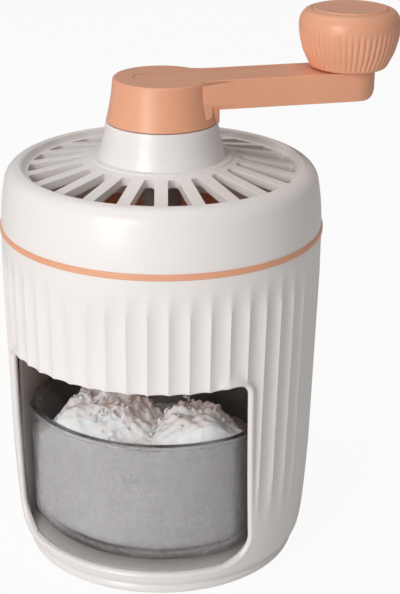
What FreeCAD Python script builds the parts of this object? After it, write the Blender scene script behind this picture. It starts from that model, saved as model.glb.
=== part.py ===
import FreeCAD, Part
import math
import os

# Hand cranked ice shaver. Millimetres, +Z up, origin on the turning axis at table level.
# The serving window faces -Y. The lid, crank and presser all share the vertical axis.

V = FreeCAD.Vector
UP = V(0, 0, 1)
os.makedirs("parts", exist_ok=True)

# Housing. The radii of the shell, base, barrel, presser and lid all follow BODY_R.
BODY_R = 61.9              # the shell's radius at its rim
SHELL_TOP = 133.7          # rim that carries the ice barrel
WALL = 2.6                 # moulded wall of the outer shell
BASE_TOP = 4.6             # shell stands on the base cover here
FOOT_R = BODY_R - 7.4      # the shell's radius where it meets the base cover
BODY_PROFILE = [(FOOT_R, BASE_TOP), (BODY_R - 5.8, BASE_TOP + 2.0), (BODY_R - 4.5, BASE_TOP + 5.7),
                (BODY_R - 3.4, 19.1), (BODY_R - 2.15, 38.1), (BODY_R - 0.9, 66.1),
                (BODY_R - 0.1, 98.1), (BODY_R, SHELL_TOP)]
SLIP = 0.3                 # gap between curved faces of separate pieces
LOOSE = 0.6                # gap of pieces that only guide each other
FLUTES = 50                # upright hollows round the shell
FLUTE_R = 8.7
FLUTE_LOW = (BODY_R - 2.8, 42.0)   # deepest line of each hollow, radius and height
FLUTE_HIGH = (BODY_R - 0.95, SHELL_TOP - 15.0)
FLUTE_FADE_LOW = 16.0      # each hollow runs out over these lengths
FLUTE_FADE_HIGH = 12.0
FLUTE_RISE = 1.25          # and comes up to the surface by this much

# Serving window and the bay behind it
WINDOW_HALF = BODY_R - 15.1
WINDOW_LOW = BASE_TOP + 6.7
WINDOW_HIGH = 88.5
WINDOW_LOW_ROUND = 11.0
WINDOW_HIGH_ROUND = 4.0
LIP = 3.2                  # smooth border at the window's sides and sill, LIP_TOP above it
LIP_TOP = 1.9
LIP_ROUND = 1.7
BAY_WALL = 1.4
BAY_HALF = WINDOW_HALF + SLIP
BAY_BACK_R = BODY_R - 11.5
BAY_TOP = WINDOW_HIGH + 3.6
BAY_FLANGE = 2.0
SILL_DROP = 0.3
FLOOR = WINDOW_LOW + SILL_DROP     # the bowl slides out just clear of the sill
FLOOR_PLATE = 1.7
BOSS_AT = BODY_R - 13.4    # base screws stand on this radius
BOSS_R = 3.3
BASE_SCREW_R = 1.45
BASE_SCREW_SEAT = 2.3
BOSS_ANGLES = (35.0, 145.0, 215.0, 325.0)
BASE_R = FOOT_R            # widest line of the base cover
BASE_LOW = 0.6             # the base cover's underside
BASE_PLATE = 1.8
FOOT_OUT = BODY_R - 18.9
FOOT_IN = FOOT_OUT - 4.0

# Ice barrel and blade
BARREL_WALL = 2.0
BARREL_OUT = BODY_R - WALL - 2.7
BARREL_IN = BARREL_OUT - BARREL_WALL
BARREL_LOW = BAY_TOP + 0.2
BARREL_FLOOR = 3.0
FLANGE_R = BODY_R + 0.5    # the coloured band
FLANGE_TOP = SHELL_TOP + 2.4
KEY_ANGLES = (30.0, 150.0, 270.0)
BLADE_ANGLE = 22.0
BLADE_EDGE = 0.7           # how far the cutting edge stands over the barrel floor
BLADE_X0 = 10.6 - BARREL_IN
BLADE_X1 = -4.0            # on this side the edge meets ice that turns clockwise
BLADE_SCREWS = (BLADE_X0 + 8.0, BLADE_X1 - 8.0)

# Lid
LID_R = BODY_R - 0.05
LID_WALL = 2.55
LID_TOP = FLANGE_TOP + 22.8
RECESS_R = LID_R - 7.65    # the grille lies sunk inside this rim
GRILLE_R = RECESS_R - 1.8
GRILLE_OUT_Z = LID_TOP - 3.0
GRILLE_IN_Z = LID_TOP + 2.4
GRILLE_THICK = 3.2
RIBS = 22
RIB_WIDTH = 4.9
GRILLE_TURN = -71.0        # direction of the first rib
SPIGOT_OUT = BARREL_IN - SLIP
SPIGOT_IN = SPIGOT_OUT - 1.6
SPIGOT_LOW = FLANGE_TOP - 6.0
NECK_R = 21.2
NECK_TOP = LID_TOP + 16.4

# Crank
CRANK_ANGLE = 33.0         # rest direction of the arm, from +X
ARM_LENGTH = 74.0          # turning axis to knob axis
ARM_WIDTH = 21.0
WASHER_TOP = NECK_TOP + 0.6
ARM_LOW = WASHER_TOP + 4.9
CRANK_TOP = ARM_LOW + 11.2
COVER_LOW = CRANK_TOP - 1.4
HUB_LOW = WASHER_TOP - 0.25
DRIVE_HALF = 4.5           # square drive of the spindle
DRIVE_TOP = CRANK_TOP - 6.5
KNOB_PIN_R = 3.0
RUNNING = 0.05             # radial gap of a turning fit

# Spindle, spring loaded rod and presser disc
SPINDLE_R = 7.7
SPINDLE_BORE = SPINDLE_R - 1.5
SHOULDER = NECK_TOP - 11.9
SPINDLE_LOW = SHOULDER - 32.3
SPINDLE_BORE_TOP = SHOULDER - 1.3
JOURNAL_R = 6.55
JOURNAL_TOP = WASHER_TOP - 0.1
BEARING_LOW = NECK_TOP - 10.2
BEARING_R = JOURNAL_R + 3.95
ROD_FLATS = 9.6
ROD_HEAD_LOW = SPINDLE_LOW + 4.0
DISC_R = BARREL_IN - 2.6
DISC_LOW = BARREL_LOW + BARREL_FLOOR + 7.8
DISC_THICK = 3.2
DISC_HUB_LOW = DISC_LOW - 2.4
ROD_LOW = DISC_LOW - 0.8
TOOTH = 5.6
SPRING_R = 2.7

# Bowl
BOWL_HALF = WINDOW_HALF - 1.0
BOWL_FRONT_R = BODY_R - 6.9
BOWL_BACK_R = BAY_BACK_R - 1.6
BOWL_TOP = 64.5
BOWL_WALL = 1.8
BOWL_FLOOR = 2.4
BOWL_RIM = 0.6             # the rim stands out from the wall by this much
BOWL_CORNER = 16.0         # upright corners
DRAFT = 0.02               # lean of the bowl's walls

# Knob
KNOB_LOW = CRANK_TOP + 0.4
KNOB_TOP = KNOB_LOW + 22.4
KNOB_FLUTES = 50
CAP_R = 14.6


def cylinder(radius, low, high, x=0.0, y=0.0):
    return Part.makeCylinder(radius, high - low, V(x, y, low), UP)


def ring(outer, inner, low, high, x=0.0, y=0.0):
    return cylinder(outer, low, high, x, y).cut(cylinder(inner, low - 1, high + 1, x, y))


def block(x0, x1, y0, y1, z0, z1):
    return Part.makeBox(x1 - x0, y1 - y0, z1 - z0, V(x0, y0, z0))


def turned(shape, degrees, x=0.0, y=0.0):
    copy = shape.copy()
    copy.rotate(V(x, y, 0), UP, degrees)
    return copy


def around(shape, count, start=0.0):
    return [turned(shape, start + 360.0 * k / count) for k in range(count)]


def arcs(triples):
    edges = []
    for triple in triples:
        ends = [V(r, 0, z) for r, z in triple]
        edges.append(Part.Arc(ends[0], ends[1], ends[2]).toShape())
    return edges


def lines(points):
    return [Part.makeLine(V(a[0], 0, a[1]), V(b[0], 0, b[1])) for a, b in zip(points, points[1:])]


def revolved(edges):
    face = Part.Face(Part.Wire(Part.__sortEdges__(edges)))
    return face.revolve(V(0, 0, 0), UP, 360)


def turned_profile(points):
    return revolved(lines(points + [points[0]]))


def prism(points, low, high):
    corners = [V(x, y, low) for x, y in points]
    wire = Part.makePolygon(corners + [corners[0]])
    return Part.Face(wire).extrude(V(0, 0, high - low))


def hexagon(flats, low, high):
    reach = flats / math.sqrt(3.0)
    points = []
    for k in range(6):
        angle = math.radians(60 * k)
        points.append((reach * math.cos(angle), reach * math.sin(angle)))
    return prism(points, low, high)


def upright_edges(shape):
    found = []
    for edge in shape.Edges:
        box = edge.BoundBox
        if box.XLength < 1e-6 and box.YLength < 1e-6:
            found.append(edge)
    return found


def save(name, shape):
    solids = shape.Solids
    if len(solids) == 1:
        shape = solids[0]
    shape.exportStep("parts/" + name + ".step")


# Outer shell: turned wall, hollows round it, window with a smooth rounded border
def rounded_panel(half, low, high, low_round, high_round):
    # An upright panel with rounded corners, reaching from outside the shell to inside it
    face = block(-half, half, -BODY_R - 12, -20, low, high)
    low_edges = []
    high_edges = []
    for edge in face.Edges:
        box = edge.BoundBox
        if box.YLength > 50:
            if box.ZMax < low + 1:
                low_edges.append(edge)
            else:
                high_edges.append(edge)
    face = face.makeFillet(low_round, low_edges)
    high_edges = []
    for edge in face.Edges:
        box = edge.BoundBox
        if box.YLength > 50 and box.ZMin > high - 1 and box.XLength < 1e-6:
            high_edges.append(edge)
    return face.makeFillet(high_round, high_edges)


shell_low = BODY_PROFILE[0]
shell_high = BODY_PROFILE[-1]


def skin_line(inward):
    curve = Part.BSplineCurve()
    curve.interpolate([V(r - inward, 0, z) for r, z in BODY_PROFILE])
    return curve.toShape()


def shell_skin(inward):
    # The closed space inside the shell's outer surface moved inward by this much
    low = (shell_low[0] - inward, shell_low[1])
    high = (shell_high[0] - inward, shell_high[1])
    return revolved([skin_line(inward)] + lines([high, (0, high[1]), (0, low[1]), low]))


shell_wall = revolved([skin_line(0.0), skin_line(WALL)]
                      + lines([shell_low, (shell_low[0] - WALL, shell_low[1])])
                      + lines([shell_high, (shell_high[0] - WALL, shell_high[1])]))

flute_from = V(FLUTE_LOW[0] + FLUTE_R, 0, FLUTE_LOW[1])
flute_to = V(FLUTE_HIGH[0] + FLUTE_R, 0, FLUTE_HIGH[1])
flute_run = flute_to - flute_from
flute = Part.makeCylinder(FLUTE_R, flute_run.Length, flute_from, flute_run)
run_out = [Part.makeCone(FLUTE_R, FLUTE_R - FLUTE_RISE, FLUTE_FADE_LOW, flute_from, flute_run * -1),
           Part.makeCone(FLUTE_R, FLUTE_R - FLUTE_RISE, FLUTE_FADE_HIGH, flute_to, flute_run)]
flute = flute.fuse(run_out)
half_pitch = 180.0 / FLUTES
outer_shell = shell_wall.cut(around(flute, FLUTES, half_pitch - 90.0))

window = rounded_panel(WINDOW_HALF, WINDOW_LOW, WINDOW_HIGH, WINDOW_LOW_ROUND, WINDOW_HIGH_ROUND)
border = rounded_panel(WINDOW_HALF + LIP, WINDOW_LOW - LIP, WINDOW_HIGH + LIP_TOP,
                       WINDOW_LOW_ROUND + LIP, WINDOW_HIGH_ROUND + LIP_TOP)
lip = shell_wall.common(border).cut(window)
lip_edges = []
for edge in lip.Edges:
    middle = edge.valueAt((edge.FirstParameter + edge.LastParameter) / 2.0)
    on_window = edge.distToShape(window)[0] < 1e-4
    inside_border = window.distToShape(Part.Vertex(middle))[0] < 1e-3
    outside = math.hypot(middle.x, middle.y) > BODY_R - 5.9 + 4.2 * min(1.0, middle.z / 60.0)
    if on_window and inside_border and outside:
        lip_edges.append(edge)
lip = lip.makeFillet(LIP_ROUND, lip_edges)
outer_shell = outer_shell.cut(border).fuse(lip)

# The hollows over the window run on through its top border
crown = flute.common(block(BODY_R - 10, BODY_R + 20, -20, 20, WINDOW_HIGH - 2, WINDOW_HIGH + LIP_TOP + 1))
for k in range(FLUTES):
    angle = half_pitch - 90.0 + 360.0 * k / FLUTES
    sideways = BODY_R * abs(math.cos(math.radians(angle)))
    if math.sin(math.radians(angle)) < 0 and sideways < WINDOW_HALF - WINDOW_HIGH_ROUND:
        outer_shell = outer_shell.cut(turned(crown, angle))

# Screw bosses under the bowl floor, each tied to the wall by a rib
boss_low = BASE_TOP
boss_high = FLOOR - FLOOR_PLATE - 0.1
boss_space = shell_skin(WALL - 0.4)
for angle in BOSS_ANGLES:
    boss = cylinder(BOSS_R, boss_low, boss_high, BOSS_AT, 0)
    boss = boss.fuse(block(BOSS_AT, BODY_R, -1.2, 1.2, boss_low, boss_high))
    boss = boss.common(boss_space).cut(cylinder(BASE_SCREW_R + RUNNING, 0, 20, BOSS_AT, 0))
    outer_shell = outer_shell.fuse(turned(boss, angle))

# Keyways in the rim that stop the barrel from turning
for angle in KEY_ANGLES:
    keyway = block(BODY_R - 3.9, BODY_R - 0.8, -4.2, 4.2, SHELL_TOP - 2.6, SHELL_TOP + 1)
    outer_shell = outer_shell.cut(turned(keyway, angle + 60))
outer_shell = outer_shell.removeSplitter()
save("outer_shell", outer_shell)

# Bowl bay: floor, two straight side walls, round back wall and a top flange, one moulding
def bay_outline(half, back, front, low, high):
    straight = block(-half, half, front, 10, low, high)
    rounded = cylinder(back, low, high).common(block(-half, half, 0, back, low, high))
    return straight.fuse(rounded)


bay_front = -math.sqrt((BODY_R - WALL - 1.7) ** 2 - (BAY_HALF + BAY_WALL) ** 2)
bay_walls = bay_outline(BAY_HALF + BAY_WALL, BAY_BACK_R + BAY_WALL, bay_front, FLOOR, BAY_TOP - BAY_FLANGE)
bay_hollow = bay_outline(BAY_HALF, BAY_BACK_R, bay_front - 30, FLOOR, BAY_TOP + 1)
bay_plate = cylinder(BODY_R, FLOOR - FLOOR_PLATE, FLOOR)
bay_flange = cylinder(BODY_R, BAY_TOP - BAY_FLANGE, BAY_TOP)
bowl_bay = bay_walls.fuse([bay_plate, bay_flange]).cut(bay_hollow.cut(cylinder(BODY_R, 0, FLOOR)))
for angle in (50, 90, 130):
    rib = turned(block(BAY_BACK_R + 0.4, BODY_R - 5.7, -0.8, 0.8, FLOOR + 20, BAY_TOP - 1), angle)
    bowl_bay = bowl_bay.fuse(rib)
bowl_bay = bowl_bay.common(shell_skin(WALL + SLIP))
save("bowl_bay", bowl_bay.removeSplitter())

# Base cover: rounded rim that shows under the shell, plate, locating ring and support ribs
plate_top = BASE_LOW + BASE_PLATE
cover = turned_profile([(0, BASE_LOW), (BASE_R - 1.1, BASE_LOW), (BASE_R - 0.4, BASE_LOW + 0.4),
                        (BASE_R, 1.9), (BASE_R, 2.9), (BASE_R - 0.4, BASE_TOP - 0.8), (BASE_R - 0.9, BASE_TOP),
                        (FOOT_R - WALL, BASE_TOP), (FOOT_R - WALL, plate_top), (0, plate_top)])
support = FLOOR - FLOOR_PLATE
locating_r = FOOT_R - WALL - LOOSE
rib_low = plate_top - 0.4
locating = ring(locating_r, locating_r - 1.6, rib_low, BASE_TOP + 2.2)
cover = cover.fuse([locating, ring(30.0, 28.4, rib_low, support)])
for angle in range(0, 360, 60):
    cover = cover.fuse(turned(block(29.0, locating_r - 0.9, -0.7, 0.7, rib_low, support), angle))
cover = cover.cut(ring(FOOT_OUT + 0.1, FOOT_IN - 0.1, 0, 1.7))
post_top = BASE_TOP - 0.2
inside_ring = cylinder(locating_r, 0, 20)
for angle in BOSS_ANGLES:
    post = cylinder(BOSS_R + SLIP, BASE_LOW, post_top, BOSS_AT, 0).common(inside_ring)
    cover = cover.fuse(turned(post, angle))
    cover = cover.cut(turned(cylinder(BOSS_R + LOOSE, post_top, 20, BOSS_AT, 0), angle))
    cover = cover.cut(turned(cylinder(BASE_SCREW_R + 0.25, 0, 20, BOSS_AT, 0), angle))
    cover = cover.cut(turned(cylinder(3.1, 0, BASE_SCREW_SEAT, BOSS_AT, 0), angle))
save("base_cover", cover.removeSplitter())

foot_side = [(FOOT_IN, 0.3), (FOOT_IN + 0.3, 0), (FOOT_OUT - 0.3, 0), (FOOT_OUT, 0.3)]
save("foot_ring", turned_profile(foot_side + [(FOOT_OUT, 1.6), (FOOT_IN, 1.6)]))


def pan_screw(head_r, head_h, shank_r, length):
    # Head below the origin plane, shank upwards
    head = cylinder(head_r, -head_h, 0)
    return head.fuse(cylinder(shank_r, 0, length)).removeSplitter()


def moved(shape, x, y, z):
    copy = shape.copy()
    copy.translate(V(x, y, z))
    return copy


base_screws = []
for angle in BOSS_ANGLES:
    screw = moved(pan_screw(2.8, 1.4, BASE_SCREW_R, 6.0), BOSS_AT, 0, BASE_SCREW_SEAT)
    base_screws.append(turned(screw, angle))
save("base_screws", Part.makeCompound(base_screws))

# Ice barrel: flange that shows as the coloured band, wall, floor with a blade slot
floor_top = BARREL_LOW + BARREL_FLOOR
barrel = turned_profile([(0, BARREL_LOW), (BARREL_OUT - 1.2, BARREL_LOW), (BARREL_OUT, BARREL_LOW + 1.2),
                         (BARREL_OUT, SHELL_TOP), (FLANGE_R - 0.4, SHELL_TOP), (FLANGE_R, SHELL_TOP + 0.4),
                         (FLANGE_R, FLANGE_TOP - 0.4), (FLANGE_R - 0.4, FLANGE_TOP),
                         (BARREL_IN, FLANGE_TOP), (BARREL_IN, floor_top), (0, floor_top)])
centring_r = BODY_R - WALL - 1.0
for angle in (45, 135, 225, 315):
    centring = block(BARREL_OUT - 0.6, centring_r, -1.5, 1.5, BARREL_LOW + 6, SHELL_TOP)
    barrel = barrel.fuse(turned(centring, angle))
for angle in (20, 140, 260):
    ice_stop = block(BARREL_IN - 1.2, BARREL_IN + 0.4, -1.0, 1.0, floor_top - 1, floor_top + 22)
    barrel = barrel.fuse(turned(ice_stop, angle))
for angle in KEY_ANGLES:
    key = block(BODY_R - 2.4, BODY_R - 1.1, -3.9, 3.9, SHELL_TOP - 2.3, SHELL_TOP + 0.5)
    barrel = barrel.fuse(turned(key, angle + 60))
    keyway = block(BARREL_IN - 0.6, BARREL_IN + 1.1, -3.4, 3.4, SPIGOT_LOW - 0.8, FLANGE_TOP + 1)
    barrel = barrel.cut(turned(keyway, angle))

# Blade frame: the cutting edge lies along X, the blade runs down and away from it
tilt = math.radians(BLADE_ANGLE)
edge_point = V(0, 1.5, floor_top + BLADE_EDGE)


def on_blade(x, along, above):
    step = V(0, math.cos(tilt), -math.sin(tilt)) * along
    rise = V(0, math.sin(tilt), math.cos(tilt)) * above
    return V(x, 0, 0) + edge_point + step + rise


def blade_block(x0, x1, along0, along1, above0, above1):
    shape = Part.makeBox(x1 - x0, along1 - along0, above1 - above0)
    shape.translate(V(x0, along0, above0))
    shape.rotate(V(0, 0, 0), V(1, 0, 0), -BLADE_ANGLE)
    shape.translate(edge_point)
    return shape


pad = block(BLADE_X0 - 1.6, BLADE_X1 + 2, 8.0, 19.0, BARREL_LOW - 6.2, BARREL_LOW + 1)
barrel = barrel.fuse(pad)
barrel = barrel.cut(blade_block(BLADE_X0 - 0.4, BLADE_X1 + 0.4, -1.0, 17.4, -9.0, 0.0))
barrel = barrel.cut(blade_block(BLADE_X0 - 3, BLADE_X1 + 3, 7.2, 30.0, -9.0, 0.0))
barrel = barrel.cut(block(BLADE_X0 - 0.4, BLADE_X1 + 0.4, -5.0, 2.4, BARREL_LOW - 8, floor_top + 1))
for x in BLADE_SCREWS:
    pilot = Part.makeCylinder(1.25, 3.4, on_blade(x, 12.4, 0), V(0, math.sin(tilt), math.cos(tilt)))
    barrel = barrel.cut(pilot)
save("ice_barrel", barrel.removeSplitter())

blade = blade_block(BLADE_X0, BLADE_X1, 0.0, 17.0, -0.8, 0.0)
bevel_side = ((-0.5, 0.02), (-0.5, -1.5), (2.6, -1.5), (1.9, -0.8), (0.0, -0.05), (-0.5, 0.02))
bevel = Part.makePolygon([on_blade(BLADE_X0 - 5, along, above) for along, above in bevel_side])
blade = blade.cut(Part.Face(bevel).extrude(V(BLADE_X1 - BLADE_X0 + 10, 0, 0)))
clamp = blade_block(BLADE_X0 + 1, BLADE_X1 - 1, 6.5, 17.0, -2.4, -0.8)
blade_screws = []
for x in BLADE_SCREWS:
    hole = Part.makeCylinder(1.4, 6.0, on_blade(x, 12.4, -4.0), V(0, math.sin(tilt), math.cos(tilt)))
    blade = blade.cut(hole)
    clamp = clamp.cut(hole)
    screw = pan_screw(2.6, 1.5, 1.2, 4.0)
    screw.rotate(V(0, 0, 0), V(1, 0, 0), -BLADE_ANGLE)
    screw.translate(on_blade(x, 12.4, -2.4))
    blade_screws.append(screw)
save("blade", blade)
save("blade_clamp", clamp)
save("blade_screws", Part.makeCompound(blade_screws))

# Lid: outer wall with a round shoulder, sunk conical grille, neck and bearing boss
collar_r = NECK_R + 6.2
neck = [(collar_r, GRILLE_IN_Z), (collar_r - 0.4, GRILLE_IN_Z + 0.5), (NECK_R + 3.2, GRILLE_IN_Z + 0.6),
        (NECK_R + 2.0, NECK_TOP - 9.8), (NECK_R + 1.0, NECK_TOP - 5.8), (NECK_R, NECK_TOP)]
shoulder = [((LID_R, FLANGE_TOP), (LID_R - 0.5, FLANGE_TOP + 9.0), (LID_R - 1.65, LID_TOP - 5.6)),
            ((LID_R - 1.65, LID_TOP - 5.6), (LID_R - 3.45, LID_TOP - 2.1), (RECESS_R, LID_TOP))]
recess = [(RECESS_R, LID_TOP), (RECESS_R - 0.9, LID_TOP - 0.5), (GRILLE_R + 0.5, GRILLE_OUT_Z + 0.3),
          (GRILLE_R, GRILLE_OUT_Z)]
inside = [(NECK_R, NECK_TOP), (0, NECK_TOP), (0, NECK_TOP - 2.6), (NECK_R - 2.3, NECK_TOP - 2.6),
          (NECK_R + 0.2, NECK_TOP - 12.8), (NECK_R + 1.8, GRILLE_IN_Z - GRILLE_THICK + 0.2),
          (collar_r - 0.4, GRILLE_IN_Z - GRILLE_THICK), (SPIGOT_IN, GRILLE_OUT_Z - GRILLE_THICK),
          (SPIGOT_IN, SPIGOT_LOW), (SPIGOT_OUT, SPIGOT_LOW), (SPIGOT_OUT, LID_TOP - 5.2),
          (SPIGOT_OUT + 1.3, LID_TOP - 3.8), (LID_R - 4.45, LID_TOP - 5.2),
          (LID_R - LID_WALL, FLANGE_TOP), (LID_R, FLANGE_TOP)]
lid = revolved(arcs(shoulder) + lines(recess) + lines([(GRILLE_R, GRILLE_OUT_Z), (collar_r, GRILLE_IN_Z)])
               + lines(neck) + lines(inside))

pitch = math.radians(180.0 / RIBS)


def slot_side(radius, sign):
    x = radius * math.cos(pitch) + 0.5 * RIB_WIDTH * math.sin(pitch)
    y = radius * math.sin(pitch) - 0.5 * RIB_WIDTH * math.cos(pitch)
    return (x, sign * y)


slot_from = collar_r + 2.2
slot_to = GRILLE_R - 1.2
slot_plan = [slot_side(slot_from, -1), slot_side(slot_to, -1),
             slot_side(slot_to, 1), slot_side(slot_from, 1)]
slot = prism(slot_plan, GRILLE_OUT_Z - 8, GRILLE_IN_Z + 5)
slot_middle = (slot_from + slot_to) / 2.0
slot = slot.makeFillet(1.5, [e for e in upright_edges(slot) if e.BoundBox.XMax < slot_middle])
slot = slot.makeFillet(1.6, [e for e in upright_edges(slot) if e.BoundBox.XMin > slot_middle + 4])
lid = lid.cut(around(slot, RIBS, GRILLE_TURN + 180.0 / RIBS))

boss = ring(BEARING_R + 2.9, BEARING_R, BEARING_LOW, NECK_TOP)
lid = lid.cut(cylinder(BEARING_R, BEARING_LOW - 3, NECK_TOP + 1)).fuse(boss)
web_top = NECK_TOP - 2.2
web_space = turned_profile([(0, NECK_TOP - 13.2), (NECK_R + 0.7, NECK_TOP - 13.2), (NECK_R - 1.8, web_top),
                            (0, web_top)])
for angle in range(0, 360, 90):
    web = turned(block(BEARING_R + 2.4, NECK_R + 0.8, -0.8, 0.8, BEARING_LOW + 0.6, web_top), angle)
    lid = lid.fuse(web.common(web_space))
for angle in KEY_ANGLES:
    key = block(SPIGOT_OUT - 0.7, BARREL_IN + 0.7, -3.0, 3.0, SPIGOT_LOW + 0.6, FLANGE_TOP - 0.8)
    lid = lid.fuse(turned(key, angle))
save("lid", lid.removeSplitter())

bushing = ring(BEARING_R - 0.05, JOURNAL_R + RUNNING, BEARING_LOW, NECK_TOP)
bushing = bushing.fuse(ring(BEARING_R + 2.3, JOURNAL_R + RUNNING, SHOULDER + 0.1, BEARING_LOW))
save("neck_bushing", bushing.removeSplitter())
save("thrust_washer", ring(BEARING_R + 1.5, JOURNAL_R + 0.35, NECK_TOP, WASHER_TOP))

# Crank: flared hub, arm with rounded end and hollow underside, drive socket
hub_side = arcs([((NECK_R - 0.1, HUB_LOW), (NECK_R - 1.7, WASHER_TOP + 7.8),
                  (NECK_R - 2.6, CRANK_TOP - 0.6))])
hub = revolved(hub_side + lines([(NECK_R - 2.6, CRANK_TOP - 0.6), (NECK_R - 3.2, CRANK_TOP), (0, CRANK_TOP),
                                 (0, HUB_LOW), (NECK_R - 0.1, HUB_LOW)]))
half = ARM_WIDTH / 2.0
arm = block(0, ARM_LENGTH + half, -half, half, ARM_LOW, CRANK_TOP)
end_edges = []
for edge in arm.Edges:
    box = edge.BoundBox
    if box.YLength > ARM_WIDTH - 1 and box.XMin > ARM_LENGTH and box.ZMax < ARM_LOW + 1:
        end_edges.append(edge)
arm = arm.makeFillet(7.0, end_edges)
plan = block(0, ARM_LENGTH, -half, half, HUB_LOW, CRANK_TOP + 9)
plan = plan.fuse(cylinder(half, HUB_LOW, CRANK_TOP + 9, ARM_LENGTH, 0))
arm = arm.common(plan.removeSplitter())
rim_edges = []
for edge in arm.Edges:
    box = edge.BoundBox
    level = box.ZLength < 1e-6
    if level and box.XLength > 5 and (box.ZMax > CRANK_TOP - 0.01 or box.ZMin < ARM_LOW + 0.01):
        rim_edges.append(edge)
tab = block(12.0, NECK_R + 1.2, -half, half, HUB_LOW, ARM_LOW + 2)
tab = tab.makeFillet(1.2, [e for e in upright_edges(tab) if e.BoundBox.XMin > NECK_R])
arm_top = [e for e in rim_edges if e.BoundBox.ZMax > CRANK_TOP - 0.01]
arm = arm.makeFillet(0.7, arm_top)
blend_r = 16.0
blend_x = NECK_R + 8.4
side_y = half + blend_r - 0.2
throat = prism([(12.0, -15.2), (12.0, 15.2), (26.0, half - 0.1), (26.0, 0.1 - half)],
               ARM_LOW + 1, CRANK_TOP - 0.7)
for side in (-1, 1):
    throat = throat.cut(cylinder(blend_r, HUB_LOW, CRANK_TOP + 9, blend_x, side * side_y))
crank = hub.fuse([arm, tab, throat])

inside_top = CRANK_TOP - 4.3
hub_hollow = turned_profile([(0, HUB_LOW - 3), (NECK_R - 2.6, HUB_LOW - 3), (NECK_R - 2.6, WASHER_TOP + 1.2),
                             (NECK_R - 4.8, inside_top), (0, inside_top)])
drive_boss = cylinder(10.2, WASHER_TOP, inside_top + 0.9)
crank = crank.cut(hub_hollow).fuse(drive_boss)
for angle in (45, 135, 225, 315):
    web = turned(block(9.8, NECK_R - 3.2, -0.8, 0.8, WASHER_TOP + 1.8, inside_top + 0.4), angle)
    crank = crank.fuse(web)
pocket_top = CRANK_TOP - 3.3
for x0, x1 in ((25.0, 37.0), (38.6, 50.6), (52.2, ARM_LENGTH - 11.0)):
    pocket = block(x0, x1, 2.4 - half, half - 2.4, ARM_LOW - 1, pocket_top)
    pocket = pocket.makeFillet(1.5, upright_edges(pocket))
    crank = crank.cut(pocket)
socket = DRIVE_HALF + 0.1
screw_seat = CRANK_TOP - 3.9
crank = crank.cut(block(-socket, socket, -socket, socket, WASHER_TOP - 1, DRIVE_TOP + 0.3))
crank = crank.cut(cylinder(1.75, DRIVE_TOP - 3, CRANK_TOP)).cut(cylinder(3.6, screw_seat, CRANK_TOP + 1))


def capsule(x0, x1, radius, low, high):
    shape = block(x0 + radius, x1 - radius, -radius, radius, low, high)
    return shape.fuse([cylinder(radius, low, high, x0 + radius, 0),
                       cylinder(radius, low, high, x1 - radius, 0)])


strip_end = ARM_LENGTH - 20.0
crank = crank.cut(capsule(-11.0, strip_end, 6.6, COVER_LOW, CRANK_TOP + 1))
crank = crank.cut(cylinder(KNOB_PIN_R + RUNNING, HUB_LOW, CRANK_TOP + 9, ARM_LENGTH, 0))
crank = crank.cut(cylinder(KNOB_PIN_R + 1.9, HUB_LOW, ARM_LOW + 2.6, ARM_LENGTH, 0))
save("crank_arm", turned(crank.removeSplitter(), CRANK_ANGLE))

cover_strip = capsule(-10.85, strip_end - 0.15, 6.45, COVER_LOW, CRANK_TOP - 0.12).removeSplitter()
save("arm_cover", turned(cover_strip, CRANK_ANGLE))

# Spindle: hollow lower tube, journal through the neck, square drive into the hub
spindle = turned_profile([(SPINDLE_BORE, SPINDLE_LOW), (SPINDLE_R, SPINDLE_LOW), (SPINDLE_R, SHOULDER),
                          (JOURNAL_R, SHOULDER), (JOURNAL_R, JOURNAL_TOP), (0, JOURNAL_TOP),
                          (0, SPINDLE_BORE_TOP), (SPINDLE_BORE, SPINDLE_BORE_TOP)])
drive = block(-DRIVE_HALF, DRIVE_HALF, -DRIVE_HALF, DRIVE_HALF, JOURNAL_TOP - 1, DRIVE_TOP)
drive = drive.common(cylinder(JOURNAL_R - 0.3, JOURNAL_TOP - 2, CRANK_TOP))
spindle = spindle.fuse(drive).cut(cylinder(1.55, NECK_TOP - 5.2, CRANK_TOP))
save("spindle", turned(spindle.removeSplitter(), CRANK_ANGLE))

end_cap = ring(SPINDLE_R, 1.0, SPINDLE_LOW - 2, SPINDLE_LOW)
end_cap = end_cap.fuse(cylinder(SPINDLE_BORE - 0.05, SPINDLE_LOW - 1, ROD_HEAD_LOW))
end_cap = end_cap.cut(hexagon(ROD_FLATS + 2 * RUNNING, SPINDLE_LOW - 9, ROD_HEAD_LOW + 9))
save("spindle_end_cap", turned(end_cap.removeSplitter(), CRANK_ANGLE))

hub_screw = pan_screw(3.2, 1.9, 1.5, 15.0)
hub_screw.rotate(V(0, 0, 0), V(1, 0, 0), 180)
save("hub_screw", moved(hub_screw, 0, 0, screw_seat))

# Spring inside the hollow rod, pushing the presser down
coil_low = DISC_LOW + 5.7
coil_high = SPINDLE_BORE_TOP - 0.5
helix = Part.makeHelix((coil_high - coil_low) / 8.0, coil_high - coil_low, SPRING_R)
helix.translate(V(0, 0, coil_low))
corners = []
for dx, dz in ((-0.4, -0.4), (0.4, -0.4), (0.4, 0.4), (-0.4, 0.4), (-0.4, -0.4)):
    corners.append(V(SPRING_R + dx, 0, coil_low + dz))
spring = Part.Wire(helix.Edges).makePipeShell([Part.makePolygon(corners)], True, True)
save("press_spring", spring)

# Rod and presser disc
rod = hexagon(ROD_FLATS, ROD_LOW, ROD_HEAD_LOW)
rod = rod.fuse(cylinder(SPINDLE_BORE - 0.1, ROD_HEAD_LOW, ROD_HEAD_LOW + 3.5))
rod = rod.cut(cylinder(SPRING_R + 0.8, coil_low - 0.7, ROD_HEAD_LOW + 5))
rod = rod.cut(cylinder(1.35, ROD_LOW - 1, coil_low - 1.7))
save("press_rod", turned(rod, CRANK_ANGLE))

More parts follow.
